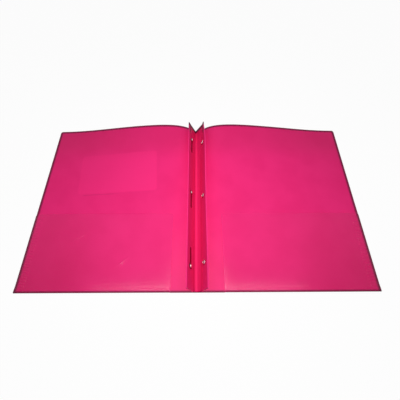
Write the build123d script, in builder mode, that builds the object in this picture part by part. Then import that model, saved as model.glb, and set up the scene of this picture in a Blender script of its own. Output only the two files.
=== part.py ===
"""A two pocket folder of creased plastic sheet, lying open with its inside up.

Millimetres. X runs across the open folder, with the front cover at -X. Y runs up the pages, with
the pockets at -Y. Z is up from the table. The origin is under the middle of the spine.
"""

from build123d import *
from math import cos, radians, sin, tan
import os

# Sheet and panels
sheet = 0.6
folder_height = 292.1
cover_width = 241.3
spine_width = 9.0
corner_radius = 4.0
fold_gap = 0.2

# Bow of each cover: flat beside the pockets, rising towards the far edge
bow_rise = 17.5
bow_shares = (0, 0.25, 1)
# control points of its end-on line: steep at the crease, flat at the outer edge
bow_reach_shares = (0, 0.1, 0.62, 1)
bow_height_shares = (0, 2.25, 0, 0)

# Binding pleats: the sheet doubled in a hairpin, leaning away from the middle
pleat_height = 25.4
ply_gap = 0.4
pleat_lean = 22.0

# Pockets
pocket_height = 120.0
pocket_inset = 30.6
pocket_gap = 1.0
pocket_corner = 3.0

# Welded side seam of a pocket, with the ribs that the welding tool presses
weld_width = 7.0
weld_inset = 5.2
weld_margin = 6.0
rib_pitch = 4.0
rib_width = 1.8
rib_height = 0.3

# Slits in the front pocket that hold two opposite corners of a card
card_width = 88.9
card_height = 50.8
card_rise = 62.0
card_inset = 58.1
slit_across = 20.2
slit_up = 16.3
slit_width = 0.8

# Blank label on the outside of the front cover
label_width = 127.0
label_height = 76.2
label_sheet = 0.1
label_corner = 6.0
label_inset = 61.0
label_rise = 160.5
label_tilt = 3.3
label_gap = 0.06

# Binding holes, and the prongs and fasteners on the pleats
hole_spacing = 107.95
hole_height = 14.0
prong_length = 22.0
prong_width = 4.0
prong_thickness = 0.4
prong_seat_gap = 0.1
bend_gap = 0.1
tab_radius = 4.0
rivet_reach = 5.4
barrel_radius = 2.4
barrel_wall = 0.4
barrel_gap = 0.05
flange_radius = 3.5
flange_height = 0.7
flange_round = 0.5
dome_height = 1.2
dome_round = 1.0
curl_radius = 3.2
curl_height = 0.5
curl_round = 0.3

# Places that follow from these sizes
far_edge = folder_height / 2
near_edge = -far_edge
crease_height = sheet / 2
pleat_crease = spine_width / 2
ply_pitch = sheet + ply_gap
cover_crease = pleat_crease + ply_pitch / cos(radians(pleat_lean)) + sheet + fold_gap
outer_edge = cover_crease + cover_width
pocket_edge = cover_crease + pocket_inset
pocket_width = outer_edge - pocket_edge
pocket_turn = (2 * sheet + pocket_gap) / 2
pocket_floor = sheet + pocket_gap
pocket_top = near_edge + pocket_height
bow_start = pocket_top
# depth of the plan outlines that trim a bowed sheet, which pass it below and above
trim_depth = 3 * bow_rise

SIDES = {"front": -1, "back": 1}
HOLES = {"top": hole_spacing, "middle": 0, "bottom": -hole_spacing}
# The lower prong folds up the page, the other two fold down it
PRONG_WAYS = {"top": -1, "middle": -1, "bottom": 1}

os.makedirs("parts", exist_ok=True)


def save(part, name):
    part.label = name
    export_step(part, f"parts/{name}.step")


def bow_points(side, share, height):
    """Control points of a cover's end-on line, where its bow has that share of its full rise."""
    return [
        (side * (cover_crease + reach_share * cover_width), height + height_share * share * bow_rise)
        for reach_share, height_share in zip(bow_reach_shares, bow_height_shares)
    ]


def bow_sections(side, low, high):
    """Slices of a bowed cover, end on, between two heights above its underside, round at the crease."""
    sections = []
    round_edge = (side * (cover_crease - (high - low) / 2), (low + high) / 2)
    for i, share in enumerate(bow_shares):
        station = bow_start + (far_edge - bow_start) * i / (len(bow_shares) - 1)
        with BuildSketch(Plane.XZ.offset(-station)) as section:
            with BuildLine():
                lower = Bezier(*bow_points(side, share, low))
                upper = Bezier(*bow_points(side, share, high))
                ThreePointArc(lower @ 0, round_edge, upper @ 0)
                Line(lower @ 1, upper @ 1)
            make_face()
        sections.append(section.sketch)
    return sections


def pleat_plane(side, along=0):
    """Plane across a pleat: its x runs up the wall from the crease, its y outwards through it."""
    lean = radians(pleat_lean)
    return Plane(
        origin=(side * pleat_crease, along, crease_height),
        x_dir=(side * sin(lean), 0, cos(lean)),
        z_dir=(0, side, 0),
    )


def wall_plane(side, along):
    """Plane on a pleat's inner face, level with the holes: its z points into the V, its x up."""
    across = pleat_plane(side, along)
    return Plane(
        origin=across.from_local_coords((hole_height, -sheet / 2, 0)),
        x_dir=across.x_dir,
        z_dir=-across.y_dir,
    )


def rivet_place(hole):
    """Place along the spine of a prong's rivet, behind the root of the prong."""
    return HOLES[hole] - PRONG_WAYS[hole] * rivet_reach


# Strip of sheet at the bottom of the V
with BuildPart() as spine_strip:
    with BuildSketch():
        Rectangle(spine_width - sheet - 2 * fold_gap, folder_height)
    extrude(amount=sheet)
save(spine_strip.part, "spine_strip")

# Cover panels
for name, side in SIDES.items():
    with BuildPart() as cover:
        loft(bow_sections(side, 0, sheet))
        # round off the far outer corner
        with BuildSketch(Plane.XY.offset(-bow_rise)):
            with Locations((side * outer_edge, far_edge)):
                Rectangle(2 * corner_radius, 2 * corner_radius)
            with Locations((side * (outer_edge - corner_radius), far_edge - corner_radius)):
                Circle(corner_radius, mode=Mode.SUBTRACT)
        extrude(amount=trim_depth, mode=Mode.SUBTRACT)
        # the flat part beside the pocket ends where the pocket's bottom fold begins
        with BuildSketch():
            with BuildLine():
                Polyline(
                    (side * cover_crease, bow_start),
                    (side * cover_crease, near_edge),
                    (side * pocket_edge, near_edge),
                    (side * pocket_edge, near_edge + pocket_turn),
                    (side * outer_edge, near_edge + pocket_turn),
                    (side * outer_edge, bow_start),
                    close=True,
                )
            make_face()
        extrude(amount=sheet)
        # its round edge that turns in the crease
        with BuildSketch(Plane.XZ.offset(-bow_start)):
            with Locations((side * cover_crease, crease_height)):
                Circle(sheet / 2)
        extrude(amount=bow_start - near_edge)
    save(cover.part, f"{name}_cover")

# Blank label, which follows the underside of the front cover
with BuildPart() as label:
    loft(bow_sections(SIDES["front"], -label_gap - label_sheet, -label_gap))
    with BuildSketch(Plane.XY.offset(-bow_rise)):
        label_x = cover_crease + label_inset + label_width / 2
        label_y = near_edge + label_rise + label_height / 2
        with Locations((SIDES["front"] * label_x, label_y)):
            RectangleRounded(label_width, label_height, label_corner, rotation=label_tilt)
    extrude(amount=trim_depth, mode=Mode.INTERSECT)
save(label.part, "front_label")

# Binding pleats
for name, side in SIDES.items():
    with BuildPart() as pleat:
        with BuildSketch(pleat_plane(side)):
            crest = pleat_height - sheet / 2 - ply_pitch / 2
            with BuildLine():
                inner_ply = Line((0, 0), (crest, 0))
                turn = ThreePointArc(
                    inner_ply @ 1, (crest + ply_pitch / 2, ply_pitch / 2), (crest, ply_pitch)
                )
                Line(turn @ 1, (ply_pitch * tan(radians(pleat_lean)), ply_pitch))
                offset(amount=sheet / 2)
            make_face()
        extrude(amount=folder_height / 2, both=True)
        for hole, along in HOLES.items():
            place = rivet_place(hole) if name == "front" else along
            with BuildSketch(wall_plane(side, place)):
                Circle(barrel_radius + barrel_gap)
            extrude(amount=-(sheet + ply_pitch), mode=Mode.SUBTRACT)
    save(pleat.part, f"{name}_pleat")

# Pockets, each folded up from the bottom edge and pressed with ribs where its side is welded
fold_centre = near_edge + pocket_turn
weld_length = pocket_height - pocket_turn - 2 * weld_margin
weld_x = outer_edge - weld_inset - weld_width / 2
weld_y = (fold_centre + pocket_top) / 2
rib_count = int(weld_length // rib_pitch)

for name, side in SIDES.items():
    with BuildPart() as pocket:
        with BuildSketch(Plane.YZ.offset(side * pocket_edge)):
            with BuildLine():
                outside = ThreePointArc(
                    (fold_centre, 0), (near_edge, pocket_turn), (fold_centre, 2 * pocket_turn)
                )
                inside = ThreePointArc(
                    (fold_centre, sheet), (near_edge + sheet, pocket_turn), (fold_centre, pocket_floor)
                )
                Line(outside @ 0, inside @ 0)
                Polyline(
                    outside @ 1, (pocket_top, 2 * pocket_turn), (pocket_top, pocket_floor), inside @ 1
                )
            make_face()
        extrude(amount=side * pocket_width)
        mouth_corners = pocket.edges().filter_by(Axis.Z).group_by(Axis.Y)[-1]
        fillet(mouth_corners, radius=pocket_corner)
        with BuildSketch(Plane.XY.offset(2 * pocket_turn)):
            with Locations((side * weld_x, weld_y)):
                with GridLocations(0, rib_pitch, 1, rib_count):
                    Rectangle(weld_width, rib_width)
        extrude(amount=rib_height)
        if name == "front":
            card_x = side * (pocket_edge + card_inset + card_width / 2)
            card_y = near_edge + card_rise
            slit = Vector(slit_across, slit_up)
            with BuildSketch(Plane.XY.offset(pocket_floor)):
                for end in (-1, 1):
                    slit_x = card_x + end * (card_width - slit_across) / 2
                    slit_y = card_y - end * (card_height - slit_up) / 2
                    with Locations((slit_x, slit_y)):
                        SlotOverall(slit.length, slit_width, rotation=Vector(1, 0).get_angle(slit))
            extrude(amount=sheet, mode=Mode.SUBTRACT)
    save(pocket.part, f"{name}_pocket")

    with BuildPart() as weld:
        with BuildSketch(Plane.XY.offset(sheet)):
            with Locations((side * weld_x, weld_y)):
                Rectangle(weld_width, weld_length)
        extrude(amount=pocket_gap)
    save(weld.part, f"{name}_pocket_weld")

# Prongs on the front pleat: a riveted tab, and the prong that bends up at its root
prong_seat = prong_seat_gap + prong_thickness
stack = sheet + ply_pitch
for hole, along in HOLES.items():
    side = SIDES["front"]
    way = side * PRONG_WAYS[hole]
    seat = wall_plane(side, along).offset(prong_seat_gap)

    with BuildPart() as tab:
        neck_length = rivet_reach - prong_thickness / 2 - bend_gap
        with BuildSketch(seat):
            with Locations((0, -way * rivet_reach)):
                Circle(tab_radius)
            with Locations((0, way * (neck_length / 2 - rivet_reach))):
                Rectangle(prong_width, neck_length)
            with Locations((0, -way * rivet_reach)):
                Circle(barrel_radius + barrel_gap, mode=Mode.SUBTRACT)
        extrude(amount=prong_thickness)
    save(tab.part, f"prong_tab_{hole}")

    with BuildPart() as prong:
        straight = prong_length - prong_width / 2
        with BuildSketch(seat):
            with Locations((0, way * straight / 2)):
                Rectangle(prong_width, straight)
            with Locations((0, way * straight)):
                Circle(prong_width / 2)
        extrude(amount=prong_thickness)
        root = Plane(
            origin=seat.from_local_coords((-prong_width / 2, 0, prong_thickness / 2)),
            x_dir=seat.y_dir,
            z_dir=seat.x_dir,
        )
        with BuildSketch(root):
            Circle(prong_thickness / 2)
        extrude(amount=prong_width)
    save(prong.part, f"prong_{hole}")

    with BuildPart() as rivet:
        rivet_wall = wall_plane(side, rivet_place(hole))
        with BuildSketch(rivet_wall.offset(prong_seat)):
            Circle(flange_radius)
        extrude(amount=dome_height)
        fillet(rivet.edges().sort_by(Axis(rivet_wall.origin, rivet_wall.z_dir))[-1], radius=dome_round)
        with BuildSketch(rivet_wall.offset(prong_seat)):
            Circle(barrel_radius)
        extrude(amount=-(prong_seat + stack))
        with BuildSketch(rivet_wall.offset(-stack)):
            Circle(curl_radius)
        extrude(amount=-curl_height)
        fillet(rivet.edges().sort_by(Axis(rivet_wall.origin, rivet_wall.z_dir))[0], radius=curl_round)
    save(rivet.part, f"rivet_{hole}")

# Open eyelets in the back pleat, one facing the root of each prong
for hole, along in HOLES.items():
    with BuildPart() as eyelet:
        wall = wall_plane(SIDES["back"], along)
        inwards = Axis(wall.origin, wall.z_dir)
        with BuildSketch(wall):
            Circle(flange_radius)
        extrude(amount=flange_height)
        fillet(eyelet.edges().sort_by(inwards)[-1], radius=flange_round)
        with BuildSketch(wall):
            Circle(barrel_radius)
        extrude(amount=-stack)
        with BuildSketch(wall.offset(-stack)):
            Circle(curl_radius)
        extrude(amount=-curl_height)
        fillet(eyelet.edges().sort_by(inwards)[0], radius=curl_round)
        with BuildSketch(wall.offset(flange_height)):
            Circle(barrel_radius - barrel_wall)
        extrude(amount=-(flange_height + stack + curl_height), mode=Mode.SUBTRACT)
    save(eyelet.part, f"eyelet_{hole}")
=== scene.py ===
"""Looks of a two pocket folder of translucent pink plastic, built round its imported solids.

Metres. X runs across the open folder, Y up its pages and Z up from the table. Sheets are first laid
out flat in millimetres: u is the distance out from the middle of the spine, v runs up the pages.
"""

from math import asin, cos, exp, hypot, pi, radians, sin, tan

import bpy
from mathutils import Matrix, Vector
from mathutils.geometry import delaunay_2d_cdt
from mathutils.noise import noise


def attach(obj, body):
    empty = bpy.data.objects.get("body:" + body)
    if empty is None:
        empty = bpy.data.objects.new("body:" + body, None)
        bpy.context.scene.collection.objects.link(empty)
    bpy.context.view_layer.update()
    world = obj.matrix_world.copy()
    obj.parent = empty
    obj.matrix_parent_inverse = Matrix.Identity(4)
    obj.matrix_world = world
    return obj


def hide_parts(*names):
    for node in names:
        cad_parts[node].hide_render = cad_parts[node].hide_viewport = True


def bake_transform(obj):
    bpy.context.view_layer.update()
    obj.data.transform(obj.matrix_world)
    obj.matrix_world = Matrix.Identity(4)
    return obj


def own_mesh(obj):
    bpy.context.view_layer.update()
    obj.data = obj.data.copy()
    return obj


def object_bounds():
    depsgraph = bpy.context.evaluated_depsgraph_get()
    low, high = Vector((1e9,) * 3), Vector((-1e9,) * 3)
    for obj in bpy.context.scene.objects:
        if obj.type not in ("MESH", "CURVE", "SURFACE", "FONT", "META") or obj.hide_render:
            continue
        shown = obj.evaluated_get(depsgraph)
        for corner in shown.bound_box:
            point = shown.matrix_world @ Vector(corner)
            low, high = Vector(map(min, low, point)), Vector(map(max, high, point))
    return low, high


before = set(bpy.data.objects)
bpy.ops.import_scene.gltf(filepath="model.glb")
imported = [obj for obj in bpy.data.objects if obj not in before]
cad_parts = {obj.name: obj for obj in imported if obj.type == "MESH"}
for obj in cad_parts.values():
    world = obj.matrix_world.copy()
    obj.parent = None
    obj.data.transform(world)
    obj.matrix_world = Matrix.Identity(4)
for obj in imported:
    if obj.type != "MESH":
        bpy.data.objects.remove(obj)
cad_low, cad_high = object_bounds()
MM = 0.001
SIDES = {"front": -1, "back": 1}

# Sizes of the solids, in millimetres. Covers
SHEET = 0.6
COVER_CREASE = 6.37853
COVER_WIDTH = 241.3
OUTER = COVER_CREASE + COVER_WIDTH
FAR = 146.05
NEAR = -FAR
CORNER = 4.0

# Pockets, with the turn at their near edge
POCKET_INSET = 30.6
POCKET_HEIGHT = 120.0
POCKET_EDGE = COVER_CREASE + POCKET_INSET
POCKET_TOP = NEAR + POCKET_HEIGHT
POCKET_CORNER = 3.0
TURN = 0.8
FOLD_Z = TURN + SHEET / 2
FOLD_V = NEAR + FOLD_Z
FLAP_Z = FOLD_Z + TURN

# Ribbed welds at the pockets' outer sides
WELD_HALF = 3.5
WELD_MARGIN = 5.2
WELD_END = 6.0
WELD_U = OUTER - WELD_MARGIN - WELD_HALF
WELD_LOW = FOLD_V + WELD_END
WELD_HIGH = POCKET_TOP - WELD_END
RIB_PITCH = 4.0
RIB_HALF = 0.9
RIB_HEIGHT = 0.3

# Slits for a card, over two of its corners
CARD_SIZE = (88.9, 50.8)
CARD_INSET = 58.1
CARD_UP = 62.0
CARD_U = POCKET_EDGE + CARD_INSET + CARD_SIZE[0] / 2
CARD_V = NEAR + CARD_UP
SLIT = (20.2, 16.3)
SLIT_LENGTH = hypot(*SLIT)
SLIT_WIDTH = 0.8

# Bow of the covers
BOW_RISE = 17.5
BOW_START = POCKET_TOP
BOW_REACH_SHARES = (0.1, 0.62)
BOW_HEIGHT_SHARE = 2.25

# Label under the front cover
LABEL_SIZE = (127.0, 76.2)
LABEL_INSET = 61.0
LABEL_UP = 160.5
LABEL_U = COVER_CREASE + LABEL_INSET + LABEL_SIZE[0] / 2
LABEL_V = NEAR + LABEL_UP + LABEL_SIZE[1] / 2
LABEL_TILT = radians(3.3)
LABEL_CORNER = 6.0
LABEL_SHEET = 0.1
LABEL_Z = -0.11

# Pleats and the fasteners on them
LEAN = radians(22)
PLEAT_CREASE = 4.5
PLEAT_HEIGHT = 25.4
PLY_PITCH = 1.0
CREASE_Z = 0.3
HOLE_UP = 14.0
HOLE_SPACING = 107.95
HOLES = {"top": HOLE_SPACING, "middle": 0.0, "bottom": -HOLE_SPACING}
PRONG_WAYS = {"top": -1, "middle": -1, "bottom": 1}
RIVET_REACH = 5.4
BARREL = 2.45
TAB_RADIUS = 4.0
NECK = 5.1
SEAT_GAP = 0.1
PRONG = (22.0, 4.0, 0.4)

# the lowest line of the V lies a little to the left
VALLEY_MIDDLE = -1.5

# Settings of the meshes, in millimetres
GRID = 5
OUTLINE_GAP = 0.2
CORNER_PARTS = 6
HOLE_PARTS = 24
LAYOUT_EPSILON = 1e-5
# kind of layout that keeps to the outline and leaves the holes in it open
KEEP_HOLES = 4
# faces that meet at a sharper angle than these are shaded apart
SHEET_SPLIT = radians(40)
FASTENER_SPLIT = radians(55)


def smooth(t):
    """0 below 0, 1 above 1, with no corners between."""
    t = min(max(t, 0.0), 1.0)
    return t * t * (3 - 2 * t)


# Flat layouts


def dense(loop, step):
    """The loop with its long sides divided."""
    out = []
    for (u0, v0), (u1, v1) in zip(loop, loop[1:] + loop[:1]):
        parts = max(1, round(hypot(u1 - u0, v1 - v0) / step))
        out += [(u0 + (u1 - u0) * i / parts, v0 + (v1 - v0) * i / parts) for i in range(parts)]
    return out


def arc(centre, radius, start, end, parts):
    """Points round part of a circle, angles in quarter turns."""
    angles = [(start + (end - start) * i / parts) * pi / 2 for i in range(parts + 1)]
    return [(centre[0] + radius * cos(a), centre[1] + radius * sin(a)) for a in angles]


def circle(centre, radius, parts):
    """Points all round a circle."""
    return arc(centre, radius, 0, 4, parts)[:-1]


def apart(point, loop, gap):
    """True if the point is inside the loop and at least the gap away from it."""
    u, v = point
    inside = False
    for (u0, v0), (u1, v1) in zip(loop, loop[1:] + loop[:1]):
        if (v0 > v) != (v1 > v) and u < u0 + (v - v0) * (u1 - u0) / (v1 - v0):
            inside = not inside
        run = (u1 - u0) ** 2 + (v1 - v0) ** 2
        t = min(max(((u - u0) * (u1 - u0) + (v - v0) * (v1 - v0)) / run, 0), 1) if run else 0
        if hypot(u - u0 - t * (u1 - u0), v - v0 - t * (v1 - v0)) < gap:
            return False
    return inside


def steps(low, high, size):
    """Even steps from low to high, as near to the size as they come."""
    count = max(1, round((high - low) / size))
    return [low + (high - low) * i / count for i in range(count + 1)]


def add_piece(name, mesh, materials):
    """An object of the mesh, with smooth shading and its materials."""
    mesh.polygons.foreach_set("use_smooth", [True] * len(mesh.polygons))
    for material in materials:
        mesh.materials.append(material)
    piece = bpy.data.objects.new(name, mesh)
    bpy.context.scene.collection.objects.link(piece)
    return piece


def split_edges(piece, angle):
    """Shade faces that meet at a sharper angle apart from each other."""
    piece.modifiers.new("edges", "EDGE_SPLIT").split_angle = angle


def sheet_piece(name, outline, holes, points, place, thickness, materials):
    """A sheet cut to an outline with holes, laid out flat, then put in its place point by point."""
    coords, edges = [], []
    for loop in [outline] + holes:
        first = len(coords)
        coords += [Vector(p) for p in loop]
        edges += [(first + i, first + (i + 1) % len(loop)) for i in range(len(loop))]
    coords += [Vector(p) for p in points]
    verts, _, faces = delaunay_2d_cdt(coords, edges, [], KEEP_HOLES, LAYOUT_EPSILON)[:3]
    mesh = bpy.data.meshes.new(name)
    mesh.from_pydata([Vector(place(*v)) * MM for v in verts], [], faces)
    piece = add_piece(name, mesh, materials)
    solid = piece.modifiers.new("thickness", "SOLIDIFY")
    solid.thickness = thickness * MM
    solid.offset = 0
    solid.material_offset_rim = len(materials) - 1
    split_edges(piece, SHEET_SPLIT)
    return piece


# Materials

# share of a line's width over which it is at full strength
FULL_SHARE = 0.4
# colour sockets of a mix node: two that go in and one that comes out
MIX_IN = (6, 7)
MIX_OUT = 2


class Look:
    """A node material, with short ways to add nodes."""

    def __init__(self, name):
        self.material = bpy.data.materials.new(name)
        self.material.use_nodes = True
        self.nodes = self.material.node_tree.nodes
        self.links = self.material.node_tree.links
        self.shader = self.nodes["Principled BSDF"]
        self.place = self.nodes.new("ShaderNodeTexCoord").outputs["Object"]
        split = self.nodes.new("ShaderNodeSeparateXYZ")
        self.links.new(self.place, split.inputs[0])
        self.x, self.y, self.z = split.outputs

    def put(self, value, socket):
        if isinstance(value, bpy.types.NodeSocket):
            self.links.new(value, socket)
        else:
            socket.default_value = value

    def math(self, operation, *values):
        node = self.nodes.new("ShaderNodeMath")
        node.operation = operation
        for value, socket in zip(values, node.inputs):
            self.put(value, socket)
        return node.outputs[0]

    def add(self, a, b):
        return self.math("ADD", a, b)

    def less(self, a, b):
        return self.math("SUBTRACT", a, b)

    def times(self, a, b):
        return self.math("MULTIPLY", a, b)

    def most(self, a, b):
        return self.math("MAXIMUM", a, b)

    def size(self, value):
        return self.math("ABSOLUTE", value)

    def ramp(self, value, low, high, out_low=0.0, out_high=1.0):
        node = self.nodes.new("ShaderNodeMapRange")
        node.interpolation_type = "SMOOTHSTEP"
        for item, socket in zip((value, low, high, out_low, out_high), node.inputs):
            self.put(item, socket)
        return node.outputs[0]

    def near(self, value, width):
        """1 close to where the value is 0, falling to 0 at the width."""
        return self.ramp(self.size(value), width, FULL_SHARE * width)

    def noise(self, scale, detail=2.0, stretch=(1, 1, 1), roughness=0.5):
        mapping = self.nodes.new("ShaderNodeMapping")
        mapping.inputs["Scale"].default_value = stretch
        self.links.new(self.place, mapping.inputs["Vector"])
        node = self.nodes.new("ShaderNodeTexNoise")
        node.inputs["Scale"].default_value = scale
        node.inputs["Detail"].default_value = detail
        node.inputs["Roughness"].default_value = roughness
        self.links.new(mapping.outputs[0], node.inputs["Vector"])
        return node.outputs[0]

    def mix(self, share, a, b):
        node = self.nodes.new("ShaderNodeMix")
        node.data_type = "RGBA"
        self.put(share, node.inputs["Factor"])
        for value, index in zip((a, b), MIX_IN):
            self.put(value, node.inputs[index])
        return node.outputs[MIX_OUT]

    def bump(self, height, strength, distance, below=None):
        node = self.nodes.new("ShaderNodeBump")
        node.inputs["Strength"].default_value = strength
        node.inputs["Distance"].default_value = distance
        self.put(height, node.inputs["Height"])
        if below is not None:
            self.links.new(below, node.inputs["Normal"])
        return node.outputs[0]

    def set(self, **values):
        for name, value in values.items():
            socket = name.replace("_", " ").title().replace("Ior", "IOR")
            self.put(value, self.shader.inputs[socket])
        return self.material


PINK = (0.92, 0.024, 0.205, 1)
PINK_DEEP = (0.88, 0.020, 0.188, 1)
# pale specks, the sheet's own, and painted highlight along the crests and the pockets' inner edges
PINK_SPECK_AND_HIGHLIGHT = (0.98, 0.050, 0.280, 1)
# painted light of the label under the front cover, seen through it
LABEL_LIGHT_PINK = (1.00, 0.028, 0.225, 1)
# painted shade: beside the covers' creases, where the pleats cast none, and at the pockets' near outer
# corners
PINK_PAINTED_SHADE = (0.66, 0.008, 0.115, 1)
# painted shade towards the covers' far edge
PINK_FAR_SHADE = (0.66, 0.020, 0.125, 1)
WALL_RED = (0.80, 0.018, 0.145, 1)
# painted light down the middle of the V, painted shade up its sides and at its top
VALLEY_PINK = (0.80, 0.022, 0.145, 1)
VALLEY_SIDE = (0.64, 0.011, 0.098, 1)
VALLEY_TOP = (0.68, 0.013, 0.110, 1)
# dark lines painted at folds and ends and at outer and far edges, partly painted shade; and the cut faces
# themselves
EDGE = (0.11, 0.004, 0.030, 1)
RIM = (0.23, 0.012, 0.062, 1)
CUT_COLOURS = ((0.24, 0.009, 0.066, 1), (0.32, 0.012, 0.088, 1))
# the steel is painted with the pink it mirrors: a lit copy, a copy in painted shade, and darker prongs
# that mirror the walls
STEEL = ((0.94, 0.56, 0.65, 1), (0.80, 0.42, 0.50, 1))
SHADED_STEEL = ((0.28, 0.06, 0.10, 1), (0.20, 0.04, 0.07, 1))
PRONG_STEEL = ((0.34, 0.09, 0.13, 1), (0.26, 0.06, 0.10, 1))
PAPER = ((0.86, 0.86, 0.84, 1), (0.80, 0.79, 0.76, 1))

SPECK_SHARE = 0.06
GRAIN_ROUGH = 0.06
SCUFF_ROUGH = 0.06
PLASTIC_IOR = 1.49


def plastic(name, edges, colours=(PINK, PINK_DEEP), gloss=0.09, rough=0.42, through=0.12, extra=None):
    """Embossed translucent plastic sheet. Its edges are painted dark, partly as light leaves there
    sideways and partly as painted shade.

    Each of the edges is a line or a band of painted shade or painted highlight: the axis that it lies
    across, its place in millimetres, its half width in metres, the share of its colour, and the colour.
    """
    look = Look(name)
    cloud = look.ramp(look.noise(scale=22, detail=3), 0.35, 0.68)
    colour = look.mix(cloud, *colours)
    speck = look.ramp(look.noise(scale=1400, detail=1), 0.45, 0.75)
    colour = look.mix(look.times(speck, SPECK_SHARE), colour, PINK_SPECK_AND_HIGHLIGHT)
    if extra:
        colour = extra(look, colour)
    away = {"u": look.size(look.x), "v": look.y, "z": look.z}
    for axis, value, width, share, tint in edges:
        line = look.near(look.less(away[axis], value * MM), width)
        colour = look.mix(look.times(line, share), colour, tint)
    grain = look.noise(scale=1900, detail=2)
    scuff = look.ramp(look.noise(scale=60, detail=4, stretch=(1, 9, 1), roughness=0.7), 0.52, 0.8)
    grained = look.ramp(grain, 0.3, 0.7, rough, rough + GRAIN_ROUGH)
    waves = look.bump(look.noise(scale=9, detail=1), strength=0.08, distance=0.004)
    return look.set(
        base_color=colour,
        roughness=look.add(grained, look.times(scuff, SCUFF_ROUGH)),
        normal=look.bump(grain, strength=0.10, distance=0.00025, below=waves),
        ior=PLASTIC_IOR,
        specular_ior_level=gloss,
        transmission_weight=through,
    )


# The label seen through the cover as a patch of painted light: its soft rim, its share of colour from its
# outer end to part of the way to its inner one, and the thin painted shadow below its outer half
LABEL_SOFT = 2.0
LABEL_SHARES = (0.5, 0.9)
LABEL_FULL = 0.7
LABEL_LINE_DROP = 2.5
LABEL_LINE_WIDTH = 1.3
LABEL_LINE_SHARE = 0.14
LABEL_LINE_INNER = (0.1, -0.2)
LABEL_LINE_OUTER = (0.9, 0.8)


def label_behind(look, colour):
    """The blank label under the cover shows through as a hotter patch of painted light, with a thin
    painted shadow.
    """
    half_width, half_height = (n / 2 * MM for n in LABEL_SIZE)
    corner, soft = LABEL_CORNER * MM, LABEL_SOFT * MM
    x = look.add(look.x, LABEL_U * MM)
    y = look.less(look.y, LABEL_V * MM)
    along = look.add(look.times(x, cos(LABEL_TILT)), look.times(y, sin(LABEL_TILT)))
    up = look.less(look.times(y, cos(LABEL_TILT)), look.times(x, sin(LABEL_TILT)))
    out = look.size(along)
    past_side = look.most(look.less(out, half_width - corner), 0.0)
    past_end = look.most(look.less(look.size(up), half_height - corner), 0.0)
    squares = look.add(look.math("POWER", past_side, 2.0), look.math("POWER", past_end, 2.0))
    patch = look.ramp(look.math("SQRT", squares), corner + soft, corner - soft)
    strength = look.ramp(along, -half_width, LABEL_FULL * half_width, *LABEL_SHARES)
    colour = look.mix(look.times(patch, strength), colour, LABEL_LIGHT_PINK)
    line = look.near(look.add(up, half_height + LABEL_LINE_DROP * MM), LABEL_LINE_WIDTH * MM)
    line = look.times(look.ramp(along, *(n * half_width for n in LABEL_LINE_INNER)), line)
    line = look.times(line, look.ramp(out, *(n * half_width for n in LABEL_LINE_OUTER)))
    return look.mix(look.times(line, LABEL_LINE_SHARE), colour, EDGE)


# Distances from the lowest line of the V over which its colours change
VALLEY_GLOW = (0.4, 2.4)
VALLEY_FADE = (2.6, 7.0)


def valley_colour(look, colour):
    """Painted light down the middle of the V and painted shade up its sides; the sheet's own colour
    doesn't show there.
    """
    off = look.size(look.less(look.x, VALLEY_MIDDLE * MM))
    colour = look.mix(look.ramp(off, *(n * MM for n in VALLEY_GLOW)), VALLEY_PINK, VALLEY_SIDE)
    return look.mix(look.ramp(off, *(n * MM for n in VALLEY_FADE)), colour, VALLEY_TOP)


TIP_LENGTH = 26
TIP_HEIGHTS = (13, 21)
TIP_SHARE = 0.85


def pleat_tips(look, colour):
    """The far tips of the pleats are as dark as their edges."""
    end = look.near(look.less(look.y, FAR * MM), TIP_LENGTH * MM)
    tip = look.times(end, look.ramp(look.z, *(n * MM for n in TIP_HEIGHTS)))
    return look.mix(look.times(tip, TIP_SHARE), colour, EDGE)


FLAP_SHADE_WIDTH = 140
FLAP_SHADE_SHARES = (0.22, 0.56)


def flap_shade(look, colour):
    """Painted shade: a pocket is darker towards its near outer corner."""
    out = look.near(look.less(look.size(look.x), OUTER * MM), FLAP_SHADE_WIDTH * MM)
    down = look.ramp(look.y, POCKET_TOP * MM, NEAR * MM, *FLAP_SHADE_SHARES)
    return look.mix(look.times(out, down), colour, PINK_PAINTED_SHADE)


def steel(name, colours, rough, stretch=(1, 1, 1)):
    """Plated steel with a little tarnish and fine lines."""
    look = Look(name)
    tarnish = look.ramp(look.noise(scale=500, detail=3), 0.4, 0.7)
    lines = look.noise(scale=2600, detail=2, stretch=stretch)
    return look.set(
        base_color=look.mix(tarnish, *colours),
        roughness=look.ramp(lines, 0.3, 0.7, rough, rough + 0.1),
        metallic=1.0,
        normal=look.bump(lines, strength=0.12, distance=0.0001),
    )


def paper(name):
    """Blank paper with short fibres."""
    look = Look(name)
    fibres = look.noise(scale=900, detail=5, stretch=(1, 3, 1), roughness=0.7)
    return look.set(
        base_color=look.mix(look.ramp(fibres, 0.35, 0.7), *PAPER),
        roughness=look.ramp(fibres, 0.3, 0.7, 0.8, 0.95),
        normal=look.bump(fibres, strength=0.2, distance=0.0001),
    )


def cut_edge(name):
    """The cut faces of the covers, streaked by the blade."""
    look = Look(name)
    streaks = look.noise(scale=700, detail=3, stretch=(1, 1, 4))
    return look.set(
        base_color=look.mix(look.ramp(streaks, 0.35, 0.7), *CUT_COLOURS),
        roughness=look.ramp(streaks, 0.3, 0.7, 0.4, 0.6),
        normal=look.bump(streaks, strength=0.15, distance=0.0001),
        specular_ior_level=0.2,
    )


CREST = 24.0
EDGE_WIDTH = 3.8 * MM
RIM_WIDTH = 5.2 * MM
END_WIDTH = 8.0 * MM
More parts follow.
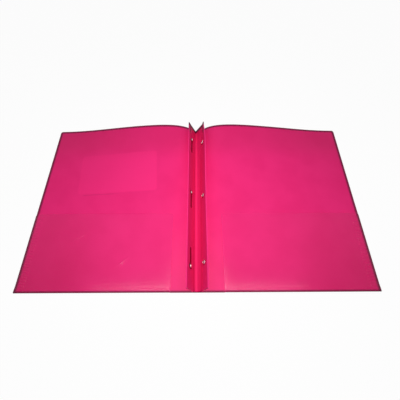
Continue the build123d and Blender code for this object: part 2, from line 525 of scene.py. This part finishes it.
# on the covers: painted shade beside the crease and towards the far edge; dark outer, far and near edges,
# partly painted shade
COVER_EDGES = [
    ("u", COVER_CREASE, 26 * MM, 0.24, PINK_PAINTED_SHADE),
    ("v", FAR, 75 * MM, 0.33, PINK_FAR_SHADE),
    ("u", OUTER, RIM_WIDTH, 1.0, RIM),
    ("v", FAR, RIM_WIDTH, 1.0, RIM),
    ("v", NEAR, EDGE_WIDTH, 0.85, EDGE),
]
# on the pockets: dark outer edge and near fold, partly painted shade, and a faint painted shadow along
# the mouth
FLAP_EDGES = [
    ("u", OUTER, RIM_WIDTH, 1.0, RIM),
    ("v", NEAR, 3.4 * MM, 0.76, EDGE),
    ("v", POCKET_TOP, 0.9 * MM, 0.05, EDGE),
    # painted highlight along the inner edge
    ("u", POCKET_EDGE, 1.2 * MM, 0.5, PINK_SPECK_AND_HIGHLIGHT),
]
# dark far and near ends, partly painted shade
END_EDGES = [
    ("v", FAR, END_WIDTH, 1.0, EDGE),
    ("v", NEAR, 2.2 * MM, 0.8, EDGE),
]
PLEAT_EDGES = [
    # painted highlight along the crest
    ("z", CREST, 1.6 * MM, 0.5, PINK_SPECK_AND_HIGHLIGHT),
    # dark ends, partly painted shade
    ("v", FAR, END_WIDTH, 1.0, EDGE),
    ("v", NEAR, 1.0 * MM, 0.15, EDGE),
]
WALL_COLOURS = (WALL_RED, WALL_RED)
edge_look = cut_edge("cut_edge")
front_cover_look = plastic("front_cover_plastic", COVER_EDGES, extra=label_behind)
back_cover_look = plastic("back_cover_plastic", COVER_EDGES)
flap_look = plastic("pocket_plastic", FLAP_EDGES, gloss=0.12, rough=0.12, extra=flap_shade)
pleat_look = plastic("pleat_plastic", PLEAT_EDGES, WALL_COLOURS, gloss=0.03, through=0.0,
                     extra=pleat_tips)
spine_look = plastic("spine_plastic", END_EDGES, WALL_COLOURS, through=0.0)
valley_look = plastic("valley_plastic", END_EDGES, gloss=0.03, through=0.0, extra=valley_colour)
lit_steel_look = steel("plated_steel", STEEL, rough=0.14)
shaded_look = steel("shaded_steel", SHADED_STEEL, rough=0.22)
prong_look = steel("prong_steel", PRONG_STEEL, rough=0.14, stretch=(1, 0.1, 1))
label_look = paper("label_paper")


# Covers and the label under the front one

BOW_HALVINGS = 24
# slight unevenness of the sheet: its height, the spans of its noise, and the bow at which it is full
RIPPLE = 0.6
RIPPLE_SPANS = (70, 90)
RIPPLE_SEED = 3.0
RIPPLE_BOW = 6
# columns of a cover beside its crease, and how they crowd towards it
CREASE_COLUMNS = 12
CREASE_CROWDING = 1.5
COVER_CORNER_PARTS = 8
LABEL_GAP = 1.5


def bow_line(share):
    """Height of a cover's end-on line over its bow's rise, at a share of the way out from the crease.

    The line is a cubic curve, and the place on it at that share is found by halving.
    """
    low, high = 0.0, 1.0
    for _ in range(BOW_HALVINGS):
        t = (low + high) / 2
        steep = 3 * t * (1 - t) ** 2 * BOW_REACH_SHARES[0]
        long = 3 * t * t * (1 - t) * BOW_REACH_SHARES[1]
        if steep + long + t ** 3 < share:
            low = t
        else:
            high = t
    return 3 * t * (1 - t) ** 2 * BOW_HEIGHT_SHARE


def bow(u, v):
    """Height of a cover's bow."""
    share = max(0.0, (v - BOW_START) / (FAR - BOW_START)) ** 2
    return BOW_RISE * share * bow_line((u - COVER_CREASE) / COVER_WIDTH)


def ripple(side, u, v):
    """Slight unevenness of the sheet where it stands off the table."""
    place = Vector((side * u / RIPPLE_SPANS[0], v / RIPPLE_SPANS[1], RIPPLE_SEED))
    return RIPPLE * noise(place) * smooth(bow(u, v) / RIPPLE_BOW)


def cover_piece(name, side, look):
    """A bowed cover. Where its pocket starts, its near edge ends at the pocket's turn."""
    columns = [COVER_CREASE + (POCKET_EDGE - COVER_CREASE) * (i / CREASE_COLUMNS) ** CREASE_CROWDING
               for i in range(CREASE_COLUMNS + 1)]
    columns += steps(POCKET_EDGE, OUTER, GRID)[1:]
    rows = [NEAR] + steps(FOLD_V, FAR, GRID)
    top = FAR - CORNER
    outline = [(u, NEAR) for u in columns if u <= POCKET_EDGE]
    outline += [(u, FOLD_V) for u in columns if u >= POCKET_EDGE]
    outline += [(OUTER, v) for v in rows if FOLD_V < v < top]
    outline += arc((OUTER - CORNER, top), CORNER, 0, 1, COVER_CORNER_PARTS)
    outline += [(u, FAR) for u in reversed(columns) if u < OUTER - CORNER]
    outline += [(COVER_CREASE, v) for v in reversed(rows) if NEAR < v < FAR]
    points = [(u, v) for u in columns for v in rows if apart((u, v), outline, OUTLINE_GAP)]

    def place(u, v):
        return side * u, v, SHEET / 2 + bow(u, v) + ripple(side, u, v)

    piece = sheet_piece(f"{name}_cover_sheet", outline, [], points, place, SHEET, [look, edge_look])
    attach(piece, f"{name}_cover")
    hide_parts(f"{name}_cover")
    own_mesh(piece)


cover_piece("front", SIDES["front"], front_cover_look)
cover_piece("back", SIDES["back"], back_cover_look)


def label_piece():
    """The tilted label with rounded corners, against the underside of the front cover."""
    half_width, half_height = LABEL_SIZE[0] / 2, LABEL_SIZE[1] / 2
    side, r = SIDES["front"], LABEL_CORNER
    w, h = half_width - r, half_height - r
    corners = []
    for quarter, centre in enumerate(((w, h), (-w, h), (-w, -h), (w, -h))):
        corners += arc(centre, r, quarter, quarter + 1, CORNER_PARTS)
    outline = dense(corners, GRID)
    across, up = steps(-half_width, half_width, GRID), steps(-half_height, half_height, GRID)
    points = [(a, b) for a in across for b in up if apart((a, b), outline, LABEL_GAP)]

    def place(a, b):
        x = side * LABEL_U + a * cos(LABEL_TILT) - b * sin(LABEL_TILT)
        v = LABEL_V + a * sin(LABEL_TILT) + b * cos(LABEL_TILT)
        return x, v, LABEL_Z + bow(side * x, v) + ripple(side, side * x, v)

    piece = sheet_piece("front_label_sheet", outline, [], points, place, LABEL_SHEET, [label_look])
    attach(piece, "front_cover")
    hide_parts("front_label")
    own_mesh(piece)


label_piece()


# Pockets: the sheet turns up at the near edge, springs up a little and is welded near its outer side

TURN_RUN = pi * TURN
FLAP_RUN = TURN_RUN + POCKET_TOP - FOLD_V
# a pocket is free of its weld at this distance
WELD_FADE = 40
# how high it springs up from its fold, how soon, and the share of that beside its weld
SPRING = 0.28
SPRING_RUN = 4
SPRING_AT_WELD = 0.15
# how far its side is pinched down outside its weld: where that starts past the weld and past the fold
PINCH = 0.9
PINCH_OUT = (0.5, 4.5)
PINCH_UP = (2, 8)
# how far it swells towards its mouth, and the span and seed of the swell's noise
SWELL = 0.9
SWELL_RUN = 120
SWELL_SPAN = 60
SWELL_SEED = 7.0
# two creases pressed along its fold
PRESSED = (NEAR + 3.8, NEAR + 5.6)
PRESSED_DEPTH = 0.03
PRESSED_HALF = 0.6
RIB_SOFT = 0.3
# raised lip of a slit: its height, how far it reaches, and where it ends along the slit
SLIT_LIP = 0.6
SLIT_LIP_REACH = 4
SLIT_LIP_END = 1.15
# mesh of the turn, of the stretch with the creases, of the ribs and of the slits
TURN_PARTS = 9
PRESSED_RUN = 6.5
PRESSED_STEP = 0.25
FLAP_STEP = 4
RIB_OFFSETS = (-4.7, -3.9, -3.5, -3.1, -1.5, 0, 1.5, 3.1, 3.5, 3.9, 4.7)
RIB_STEP = 0.4
RIB_OVER = 0.8
RIB_CLEAR = (5.2, 1)
SLIT_STEP = 2
SLIT_OFFSETS = (-6, -3.5, -1.8, -0.9, 0.9, 1.8, 3.5, 6)
SLIT_CLEAR = (3, 7)


def slit_frames(name):
    """Middle, direction along, and direction away from the card, of each slit in a pocket."""
    if name != "front":
        return []
    along = (-SLIT[0] / SLIT_LENGTH, SLIT[1] / SLIT_LENGTH)
    frames = []
    for end in (-1, 1):
        u = CARD_U - end * (CARD_SIZE[0] - SLIT[0]) / 2
        v = CARD_V - end * (CARD_SIZE[1] - SLIT[1]) / 2
        frames.append(((u, v), along, (-end * along[1], end * along[0])))
    return frames


def on_slit(slit, t, off):
    """A place that is t along a slit and off it by some distance."""
    (u, v), a, n = slit
    return u + a[0] * t + n[0] * off, v + a[1] * t + n[1] * off


def flap_rise(name, u, v):
    """Height of a pocket above its flat solid."""
    up = v - FOLD_V
    free = smooth((WELD_U - WELD_HALF - u) / WELD_FADE)
    rise = SPRING * (1 - exp(-up / SPRING_RUN)) * (SPRING_AT_WELD + (1 - SPRING_AT_WELD) * free)
    past_weld = smooth((u - WELD_U - WELD_HALF - PINCH_OUT[0]) / PINCH_OUT[1])
    rise -= PINCH * past_weld * smooth((up - PINCH_UP[0]) / PINCH_UP[1])
    uneven = 0.5 + 0.5 * noise(Vector((u / SWELL_SPAN, v / SWELL_SPAN, SWELL_SEED)))
    rise += SWELL * free * smooth(up / SWELL_RUN) * uneven
    for crease in PRESSED:
        rise -= PRESSED_DEPTH * smooth(1 - abs(v - crease) / PRESSED_HALF)
    if WELD_LOW < v < WELD_HIGH:
        place = (v - (WELD_LOW + WELD_HIGH) / 2) / RIB_PITCH
        off = abs(place - round(place)) * RIB_PITCH
        along = smooth((RIB_HALF + RIB_SOFT - off) / (2 * RIB_SOFT))
        across = smooth((WELD_HALF + RIB_SOFT - abs(u - WELD_U)) / (2 * RIB_SOFT))
        rise += RIB_HEIGHT * along * across
    for (mu, mv), a, n in slit_frames(name):
        t = (u - mu) * a[0] + (v - mv) * a[1]
        off = (u - mu) * n[0] + (v - mv) * n[1]
        if off > 0:
            ends = smooth(SLIT_LIP_END - abs(t) / (SLIT_LENGTH / 2))
            rise += SLIT_LIP * exp(-off / SLIT_LIP_REACH) * ends
    return rise


def pocket_piece(name, side):
    """A pocket with the turn at its near edge. On its layout s runs round the turn and up the pocket."""
    run = TURN_RUN - FOLD_V
    columns = steps(POCKET_EDGE, OUTER, GRID)
    rows = steps(0, TURN_RUN, TURN_RUN / TURN_PARTS)
    rows += steps(TURN_RUN, TURN_RUN + PRESSED_RUN, PRESSED_STEP)[1:]
    rows += steps(TURN_RUN + PRESSED_RUN, FLAP_RUN, FLAP_STEP)[1:]
    top, r = FLAP_RUN - POCKET_CORNER, POCKET_CORNER
    outline = [(u, 0) for u in columns] + [(OUTER, s) for s in rows if 0 < s < top]
    outline += arc((OUTER - r, top), r, 0, 1, CORNER_PARTS)
    outline += [(u, FLAP_RUN) for u in reversed(columns) if POCKET_EDGE + r < u < OUTER - r]
    outline += arc((POCKET_EDGE + r, top), r, 1, 2, CORNER_PARTS)
    outline += [(POCKET_EDGE, s) for s in reversed(rows) if 0 < s < top]

    def on_weld(u, s):
        beside, beyond = RIB_CLEAR
        return abs(u - WELD_U) < beside and WELD_LOW - beyond < s - run < WELD_HIGH + beyond

    def round_slit(slit, pairs):
        places = [on_slit(slit, t, off) for t, off in pairs]
        return [(u, v + run) for u, v in places]

    points = [(u, s) for u in columns for s in rows if not on_weld(u, s)]
    ribs = [(WELD_U + off, v + run) for off in RIB_OFFSETS
            for v in steps(WELD_LOW - RIB_OVER, WELD_HIGH + RIB_OVER, RIB_STEP)]
    slits, lips = [], []
    half, end = SLIT_WIDTH / 2, SLIT_LENGTH / 2
    far, wide = end + SLIT_CLEAR[0], SLIT_CLEAR[1]
    for slit in slit_frames(name):
        cut = arc((end - half, 0), half, -1, 1, CORNER_PARTS)
        cut += arc((half - end, 0), half, 1, 3, CORNER_PARTS)
        slits.append(round_slit(slit, dense(cut, SLIT_STEP)))
        clear = round_slit(slit, [(-far, -wide), (far, -wide), (far, wide), (-far, wide)])
        points = [p for p in points if not apart(p, clear, 0)]
        lips += round_slit(slit, [(t, off) for t in steps(-end, end, SLIT_STEP) for off in SLIT_OFFSETS])
    points = [p for p in points + ribs + lips if apart(p, outline, OUTLINE_GAP)]

    def place(u, s):
        if s < TURN_RUN:
            angle = s / TURN
            return side * u, FOLD_V - TURN * sin(angle), FOLD_Z - TURN * cos(angle)
        v = FOLD_V + s - TURN_RUN
        return side * u, v, FLAP_Z + flap_rise(name, u, v)

    piece = sheet_piece(f"{name}_pocket_flap", outline, slits, points, place, SHEET, [flap_look])
    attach(piece, f"{name}_cover")
    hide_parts(f"{name}_pocket")


for name, side in SIDES.items():
    pocket_piece(name, side)


# Pleats: the sheet doubled in a hairpin; the back one stands more upright towards its far end

PLEAT_TOP = PLEAT_HEIGHT - SHEET / 2 - PLY_PITCH / 2
# the outer ply ends this far up, clear of the cover when that is folded back
PLEAT_FOOT = 1.9
# stretches of a pleat where it twists up, from and to, and by how much
TWISTS = {"front": [], "back": [(-120.0, 10.0, radians(2.1)), (114.0, FAR, radians(6.4))]}
HAIRPIN_PARTS = 10
PLEAT_STEP = 3
PLEAT_ROW = 4
HOLE_GAP = 0.6


def lean_at(name, v):
    """How far a pleat leans out at a place along the spine."""
    return LEAN - sum(turn * smooth((v - low) / (high - low)) for low, high, turn in TWISTS[name])


def fastener_place(name, hole):
    """Place along the spine of the fastener at a hole."""
    return HOLES[hole] - (PRONG_WAYS[hole] * RIVET_REACH if name == "front" else 0)


def pleat_piece(name, side):
    """A pleat. On its layout s runs up the inner ply, round the hairpin and down the outer ply."""
    turn = pi * PLY_PITCH / 2
    mirrored = 2 * PLEAT_TOP + turn
    run = mirrored - PLEAT_FOOT
    columns = steps(0, PLEAT_TOP, PLEAT_STEP)
    columns += steps(PLEAT_TOP, PLEAT_TOP + turn, turn / HAIRPIN_PARTS)[1:]
    columns += steps(PLEAT_TOP + turn, run, PLEAT_STEP)[1:]
    rows = steps(NEAR, FAR, PLEAT_ROW)
    outline = [(s, NEAR) for s in columns] + [(run, v) for v in rows[1:-1]]
    outline += [(s, FAR) for s in reversed(columns)] + [(0, v) for v in reversed(rows[1:-1])]
    centres = [(s, fastener_place(name, hole)) for hole in HOLES for s in (HOLE_UP, mirrored - HOLE_UP)]
    holes = [circle(centre, BARREL, HOLE_PARTS) for centre in centres]
    points = [(s, v) for s in columns[1:-1] for v in rows[1:-1]
              if all(hypot(s - cs, v - cv) > BARREL + HOLE_GAP for cs, cv in centres)]

    def place(s, v):
        if s < PLEAT_TOP:
            up, out = s, 0
        elif s < PLEAT_TOP + turn:
            angle = (s - PLEAT_TOP) * 2 / PLY_PITCH
            up, out = PLEAT_TOP + PLY_PITCH / 2 * sin(angle), PLY_PITCH / 2 * (1 - cos(angle))
        else:
            up, out = mirrored - s, PLY_PITCH
        lean = lean_at(name, v)
        across = PLEAT_CREASE + up * sin(lean) + out * cos(lean)
        return side * across, v, CREASE_Z + up * cos(lean) - out * sin(lean)

    piece = sheet_piece(f"{name}_pleat_sheet", outline, holes, points, place, SHEET, [pleat_look])
    # light passes through the thin sheet, so it casts no hard shadow beside its crest; the covers carry a
    # painted shade there instead
    piece.visible_shadow = False
    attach(piece, f"{name}_pleat")
    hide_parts(f"{name}_pleat")


for name, side in SIDES.items():
    pleat_piece(name, side)


# Bottom of the V: a rounded fold from its lowest line up each wall, sharper at the far end

VALLEY_ROOT = 0.15
VALLEY_PARTS = 16
VALLEY_STEP = 8
# over this stretch the rounded fold straightens
SHARP_SPAN = (40.0, FAR)
# over this one it climbs up the walls as a thin sheet, and its lowest line moves further left
POINT_SPAN = (114.0, FAR)
POINT_REACH = 18.0
POINT_SHIFT = -1.5
POINT_STEP = 3
# how far its underside lies towards the corner of the V, where it fills that corner and where it is thin
FILLED_SHARE = 0.97
THIN_SHARE = 0.09


def span_share(span, v):
    """0 before the span, 1 after it."""
    return smooth((v - span[0]) / (span[1] - span[0]))


def valley_section(name, side, v):
    """Outline of the fold across the V, from its lowest line up one wall."""
    lean, point = lean_at(name, v), span_share(POINT_SPAN, v)
    start = side * (VALLEY_MIDDLE + POINT_SHIFT * point)
    foot = PLEAT_CREASE - SHEET / 2 * cos(lean)
    corner = foot + (SHEET - CREASE_Z - SHEET / 2 * sin(lean)) * tan(lean)
    reach = corner - start + (POINT_REACH - corner + start) * point
    first = Vector((start, SHEET))
    last = Vector((corner + reach * sin(lean), SHEET + reach * cos(lean)))
    pull = Vector((corner, SHEET)).lerp((first + last) / 2, span_share(SHARP_SPAN, v))
    shares = steps(0, 1, 1 / VALLEY_PARTS)
    curve = [first.lerp(pull, t).lerp(pull.lerp(last, t), t) for t in shares]
    root = Vector((corner + VALLEY_ROOT, SHEET - VALLEY_ROOT))
    depth = FILLED_SHARE + (THIN_SHARE - FILLED_SHARE) * point
    return curve + [p.lerp(root, depth) for p in reversed(curve)]


def long_piece(name, side, rows, sections, look):
    """A closed strip along the spine with a section for each row."""
    verts = [Vector((side * x, v, z)) * MM for v, section in zip(rows, sections) for x, z in section]
    count = len(sections[0])
    faces = [(r + i, r + (i + 1) % count, r + count + (i + 1) % count, r + count + i)
             for r in range(0, len(verts) - count, count) for i in range(count)]
    faces += [tuple(range(count)), tuple(range(len(verts) - count, len(verts)))]
    mesh = bpy.data.meshes.new(name)
    mesh.from_pydata(verts, [], faces)
    piece = add_piece(name, mesh, [look])
    split_edges(piece, SHEET_SPLIT)
    return piece


def valley_piece(name, side):
    """One half of the bottom of the V. It follows the lean of its pleat."""
    rows = steps(NEAR, POINT_SPAN[0], VALLEY_STEP) + steps(POINT_SPAN[0], FAR, POINT_STEP)[1:]
    sections = [valley_section(name, side, v) for v in rows]
    piece = long_piece(f"{name}_valley_fold", side, rows, sections, valley_look)
    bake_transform(piece)


# Creases that join the covers to the spine, thinner than the sheet

CREASE_SHEET = 0.3
CREASE_PARTS = 8
CREASE_STEP = 30
CREASE_GAP = 0.02
CREASE_START = 5.0
CREASE_END = COVER_CREASE - CREASE_GAP
# a thin lip reaches under the pleat's foot to the strip at the bottom of the V
LIP_START = 4.0
LIP_SHEET = 0.05


def crease_piece(name, side):
    """The crease of one cover."""
    columns = steps(CREASE_START, CREASE_END, (CREASE_END - CREASE_START) / CREASE_PARTS)
    section = [(u, 0) for u in columns] + [(u, CREASE_SHEET) for u in reversed(columns)]
    section += [(CREASE_START, LIP_SHEET), (LIP_START, LIP_SHEET), (LIP_START, 0)]
    rows = steps(NEAR, FAR, CREASE_STEP)
    piece = long_piece(f"{name}_cover_crease", side, rows, [section] * len(rows), spine_look)
    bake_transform(piece)


for name, side in SIDES.items():
    crease_piece(name, side)
for name, side in SIDES.items():
    valley_piece(name, side)


# Fasteners on the pleats

TURNED_SIDES = 64
WELD_DISTANCE = 1e-6
# profiles of (radius, height above the wall), in millimetres
RIVET = [
    (0, 2.5), (0.6, 2.456), (1.2, 2.318), (1.7, 2.11), (2.1, 1.84), (2.4, 1.55), (2.6, 1.22), (2.7, 0.9),
    (2.78, 0.8), (3.1, 0.78), (3.34, 0.74), (3.46, 0.66), (3.5, 0.58), (3.45, 0.52), (3.3, 0.5),
    (2.4, 0.5), (2.4, -1.6), (3.0, -1.6), (3.16, -1.68), (3.2, -1.8), (3.16, -1.98), (3.0, -2.08),
    (2.7, -2.1), (2.2, -2.04), (1.6, -1.88), (0.8, -1.76), (0, -1.74),
]
EYELET = [
    (2.0, -1.9), (2.0, 0.60), (2.06, 0.95), (2.22, 1.25), (2.5, 1.46), (2.85, 1.55), (3.2, 1.48),
    (3.5, 1.26), (3.72, 0.92), (3.84, 0.5), (3.88, 0.2), (3.8, 0.0), (2.4, 0.0), (2.4, -1.6),
    (2.9, -1.6), (3.12, -1.66), (3.2, -1.82), (3.1, -1.98), (2.85, -2.08), (2.5, -2.1), (2.2, -2.06),
    (2.05, -1.99),
]
# radii between which each is lit steel, above a height; elsewhere it is steel in painted shade
RIVET_BRIGHT = (-1.0, 2.5)
EYELET_BRIGHT = (2.03, 3.65)
BRIGHT_ABOVE = 0.4
# the clenched end of an eyelet: where it starts, and its petals
ROLL_TOP = -1.59
ROLL_INSIDE = 2.45
PETAL_TURNS = 4
PETAL_DEPTH = 0.10


def wall_frame(name, along):
    """Place on a pleat's inner face, level with the holes: its axes run up the wall and into the V."""
    side, lean = SIDES[name], lean_at(name, along)
    up = Vector((side * sin(lean), 0, cos(lean)))
    inwards = Vector((-side * cos(lean), 0, sin(lean)))
    origin = Vector((side * PLEAT_CREASE, along, CREASE_Z)) + up * HOLE_UP + inwards * SHEET / 2
    return origin, up, inwards


def turned_piece(name, wall, along, profile, closed, wobble, bright):
    """A profile turned round an axis that points into the V, lit steel between two radii, steel in
    painted shade elsewhere.
    """
    origin, up, inwards = wall_frame(wall, along)
    across = inwards.cross(up)
    verts, faces = [], []
    for i in range(TURNED_SIDES):
        angle = 2 * pi * i / TURNED_SIDES
        for radius, height in profile:
            r = radius * wobble(angle, radius, height)
            verts.append((origin + up * r * cos(angle) + across * r * sin(angle) + inwards * height) * MM)
    rows = len(profile)
    spans = rows if closed else rows - 1
    for i in range(TURNED_SIDES):
        this, other = i * rows, (i + 1) % TURNED_SIDES * rows
        for k in range(spans):
            after = (k + 1) % rows
            faces.append((this + k, this + after, other + after, other + k))
    mesh = bpy.data.meshes.new(name)
    mesh.from_pydata(verts, [], faces)
    mesh.validate()
    piece = add_piece(name, mesh, [lit_steel_look, shaded_look])
    low, high = bright
    for face in mesh.polygons:
        off = face.center / MM - origin
        height = off.dot(inwards)
        radius = (off - inwards * height).length
        face.material_index = 0 if height > BRIGHT_ABOVE and low < radius < high else 1
    weld = piece.modifiers.new("weld", "WELD")
    weld.merge_threshold = WELD_DISTANCE
    split_edges(piece, FASTENER_SPLIT)
    return piece


def plain(angle, radius, height):
    """A round with nothing cut out of it."""
    return 1


def split_roll(angle, radius, height):
    """The rolled end of an eyelet's barrel, split into petals."""
    if height > ROLL_TOP or radius < ROLL_INSIDE:
        return 1
    return 1 - PETAL_DEPTH * (1 - abs(cos(PETAL_TURNS * angle)) ** 0.5)


TAB_PARTS = 40
TAB_STEP = 0.8
TAB_RING_PARTS = 32


def tab_piece(hole):
    """The riveted end of a prong."""
    way = PRONG_WAYS[hole]
    along = fastener_place("front", hole)
    origin, up, inwards = wall_frame("front", along)
    neck_half = PRONG[1] / 2
    spread = asin(neck_half / TAB_RADIUS) * 2 / pi
    disc = arc((0, 0), TAB_RADIUS, spread, 4 - spread, TAB_PARTS)
    outline = dense([*disc, (NECK, -neck_half), (NECK, neck_half)], TAB_STEP)
    holes = [circle((0, 0), BARREL, HOLE_PARTS)]
    points = circle((0, 0), (BARREL + TAB_RADIUS) / 2, TAB_RING_PARTS)

    def place(t, o):
        return origin + up * o + Vector((0, way * t, 0)) + inwards * (SEAT_GAP + PRONG[2] / 2)

    piece = sheet_piece(f"prong_seat_{hole}", outline, holes, points, place, PRONG[2], [shaded_look])
    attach(piece, "front_pleat")
    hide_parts(f"prong_tab_{hole}")


for hole, along in HOLES.items():
    tab_piece(hole)
    rivet = turned_piece(f"rivet_head_{hole}", "front", fastener_place("front", hole), RIVET, False,
                         plain, RIVET_BRIGHT)
    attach(rivet, "front_pleat")
    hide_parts(f"rivet_{hole}")
    eyelet = turned_piece(f"eyelet_ring_{hole}", "back", along, EYELET, True, split_roll, EYELET_BRIGHT)
    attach(eyelet, "back_pleat")
    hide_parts(f"eyelet_{hole}")


# where a prong starts, its rounded tip and its mesh
PRONG_ROOT = -0.15
PRONG_TIP_PARTS = 14
PRONG_RIM_STEP = 1
PRONG_STEP = 0.8
PRONG_OFFSETS = (-1.5, -1.0, -0.75, -0.5, -0.25, 0, 0.25, 0.5, 0.75, 1.0, 1.5)
PRONG_GAP = 0.25
# bead down its middle: its height, where its sides start and how wide they are, and its ends
BEAD = 0.16
BEAD_SIDE = (0.95, 0.7)
BEAD_ENDS = (2.5, 3.0)
BEAD_END_RUN = 1.5


def prong_piece(hole, along, way):
    """A flat prong with a pressed bead down its middle, folded along the pleat."""
    length, width, thickness = PRONG
    half = width / 2
    origin, up, inwards = wall_frame("front", along)
    tip = arc((length - half, 0), half, -1, 1, PRONG_TIP_PARTS)
    outline = dense([(PRONG_ROOT, -half), *tip, (PRONG_ROOT, half)], PRONG_RIM_STEP)
    points = [(t, o) for t in steps(PRONG_ROOT, length, PRONG_STEP) for o in PRONG_OFFSETS]
    points = [p for p in points if apart(p, outline, PRONG_GAP)]

    def place(t, o):
        root, end = (t - BEAD_ENDS[0]) / BEAD_END_RUN, (length - BEAD_ENDS[1] - t) / BEAD_END_RUN
        bead = BEAD * smooth((BEAD_SIDE[0] - abs(o)) / BEAD_SIDE[1]) * (smooth(root) * smooth(end))
        height = SEAT_GAP + thickness / 2 + bead
        return origin + up * o + Vector((0, way * t, 0)) + inwards * height

    piece = sheet_piece(f"prong_strip_{hole}", outline, [], points, place, thickness, [prong_look])
    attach(piece, f"prong_{hole}")
    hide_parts(f"prong_{hole}")


for hole, along in HOLES.items():
    prong_piece(hole, along, PRONG_WAYS[hole])


# Solids that keep their own shape

KEPT = {"spine_strip": spine_look, "front_pocket_weld": flap_look, "back_pocket_weld": flap_look}
for node, look in KEPT.items():
    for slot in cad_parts[node].material_slots:
        slot.material = look


# Floor and surroundings, nearly white to the camera and in reflections and much dimmer as light

FLOOR_SIZE = 6.0
FLOOR_GAP = 0.0001
FLOOR_GREY = (0.85, 0.85, 0.85, 1)
# share of plain white in what the camera sees of the floor; the rest keeps a faint shadow
FLOOR_WHITE = 0.955
SKY_LIGHT = 0.25
SEEN_RAYS = ("Is Camera Ray", "Is Glossy Ray", "Is Transmission Ray")


def floor_look():
    """Pale floor that the camera and reflections see nearly white, and that keeps a faint shadow."""
    look = Look("floor")
    look.nodes.remove(look.shader)
    shade = look.nodes.new("ShaderNodeBsdfDiffuse")
    shade.inputs["Color"].default_value = FLOOR_GREY
    white = look.nodes.new("ShaderNodeEmission")
    path = look.nodes.new("ShaderNodeLightPath").outputs
    camera_ray, glossy_ray, through_ray = (path[kind] for kind in SEEN_RAYS)
    seen = look.most(camera_ray, look.most(glossy_ray, through_ray))
    both = look.nodes.new("ShaderNodeMixShader")
    look.links.new(look.times(seen, FLOOR_WHITE), both.inputs[0])
    look.links.new(shade.outputs[0], both.inputs[1])
    look.links.new(white.outputs[0], both.inputs[2])
    look.links.new(both.outputs[0], look.nodes["Material Output"].inputs["Surface"])
    return look.material


half = FLOOR_SIZE / 2
floor_z = cad_low.z - FLOOR_GAP
corners = [(x * half, y * half, floor_z) for x, y in ((-1, -1), (1, -1), (1, 1), (-1, 1))]
floor_mesh = bpy.data.meshes.new("floor")
floor_mesh.from_pydata(corners, [], [(0, 1, 2, 3)])
add_piece("floor", floor_mesh, [floor_look()])

world = bpy.data.worlds.new("studio")
bpy.context.scene.world = world
world.use_nodes = True
sky, sky_links = world.node_tree.nodes, world.node_tree.links
sky["Background"].inputs["Color"].default_value = (1, 1, 1, 1)
ray = sky.new("ShaderNodeLightPath").outputs
seen = None
for kind in SEEN_RAYS:
    either = sky.new("ShaderNodeMath")
    either.operation = "MAXIMUM"
    sky_links.new(ray[kind], either.inputs[0])
    if seen:
        sky_links.new(seen, either.inputs[1])
    else:
        either.inputs[1].default_value = SKY_LIGHT
    seen = either.outputs[0]
sky_links.new(seen, sky["Background"].inputs["Strength"])


# Lamps and camera


def lamp(name, place, aim, size, power):
    """A rectangular lamp, in metres and watts."""
    light = bpy.data.lights.new(name, "AREA")
    light.shape = "RECTANGLE"
    light.size, light.size_y = size
    light.energy = power
    holder = bpy.data.objects.new(name, light)
    bpy.context.scene.collection.objects.link(holder)
    holder.location = place
    holder.rotation_euler = (Vector(aim) - Vector(place)).to_track_quat("-Z", "Y").to_euler()
    return holder


# the broad light shapes the pink, the strip and the wider sheen are what the glossy pocket folds mirror,
# and the spark lights up the rims of the fasteners
broad = lamp("broad", place=(0, -0.03, 0.39), aim=(0, -0.03, 0), size=(0.12, 0.10), power=1.0)
broad.visible_glossy = False
lamp("strip", place=(0, -0.058, 0.39), aim=(0, -0.058, 0), size=(0.36, 0.03), power=0.22)
sheen = lamp("sheen", place=(0, -0.058, 0.391), aim=(0, -0.058, 0), size=(0.54, 0.03), power=0.30)
sheen.visible_diffuse = False
lamp("spark", place=(0, -0.23, 0.45), aim=(0, 0, 0), size=(0.12, 0.12), power=0.30)

CAMERA_PLACE = (0.00372, -0.25931, 0.42794)
YAW, PITCH, ROLL = radians(0.11), radians(58.793), radians(-0.193)
FOCUS_PIXELS, FRAME_PIXELS = 315.27, 400
SENSOR_WIDTH = 36
CLIP_START = 0.01

forward = Vector((sin(YAW) * cos(PITCH), cos(YAW) * cos(PITCH), -sin(PITCH)))
level = Vector((cos(YAW), -sin(YAW), 0))
upright = level.cross(forward)
right = cos(ROLL) * level + sin(ROLL) * upright
above = cos(ROLL) * upright - sin(ROLL) * level
camera_data = bpy.data.cameras.new("camera")
camera_data.sensor_width = SENSOR_WIDTH
camera_data.lens = camera_data.sensor_width * FOCUS_PIXELS / FRAME_PIXELS
camera_data.clip_start = CLIP_START
camera = bpy.data.objects.new("camera", camera_data)
bpy.context.scene.collection.objects.link(camera)
axes = Matrix((right, above, -forward)).transposed().to_4x4()
camera.matrix_world = Matrix.Translation(CAMERA_PLACE) @ axes
bpy.context.scene.camera = camera
bpy.context.scene.view_settings.view_transform = "Standard"
